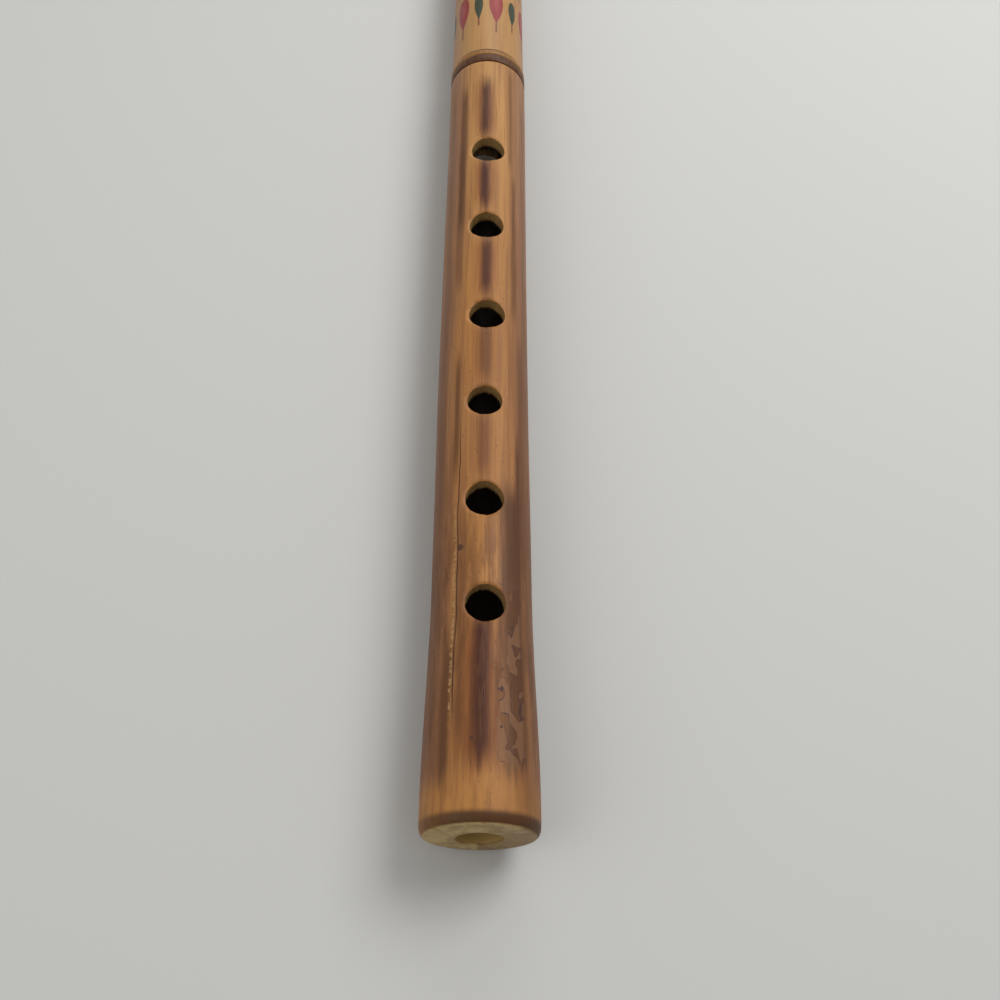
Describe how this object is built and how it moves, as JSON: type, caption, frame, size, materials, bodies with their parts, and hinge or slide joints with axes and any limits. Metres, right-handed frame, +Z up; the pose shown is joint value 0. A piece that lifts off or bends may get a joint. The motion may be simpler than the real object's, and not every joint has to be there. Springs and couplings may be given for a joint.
{
  "type": "quena",
  "caption": "Cane notch flute with finger holes, a thumb hole, a drilled foot node, a notched head and a corked pull-apart joint.",
  "frame": {"origin": "middle of the box's underside: half way along the flute, under its axis, on the surface it lies on", "axes": "+Y along the flute from foot to notch, +Z up through the finger holes, +X to the right seen from the foot"},
  "size_m": [0.0276, 0.38, 0.027],
  "materials": {
    "scorched_cane": "scorched cane, waxed by handling",
    "plain_cane": "plain varnished cane",
    "dark_hardwood": "dark polished hardwood",
    "cork": "matt cork"
  },
  "bodies": {
    "lower_section": {"body_tube": "scorched_cane"},
    "tenon": {"tenon_sleeve": "dark_hardwood", "tenon_cork": "cork"},
    "upper_section": {"head_tube": "plain_cane"}
  },
  "joints": [
    {"name": "tenon_pull", "type": "slide", "parent": "lower_section", "child": "tenon", "axis": [0, 1, 0], "range_m": [0, 0.024]},
    {"name": "head_turn", "type": "hinge", "parent": "tenon", "child": "upper_section", "pos_m": [0, 0.0636, 0.01349], "axis": [0, 1, 0], "continuous": true}
  ]
}
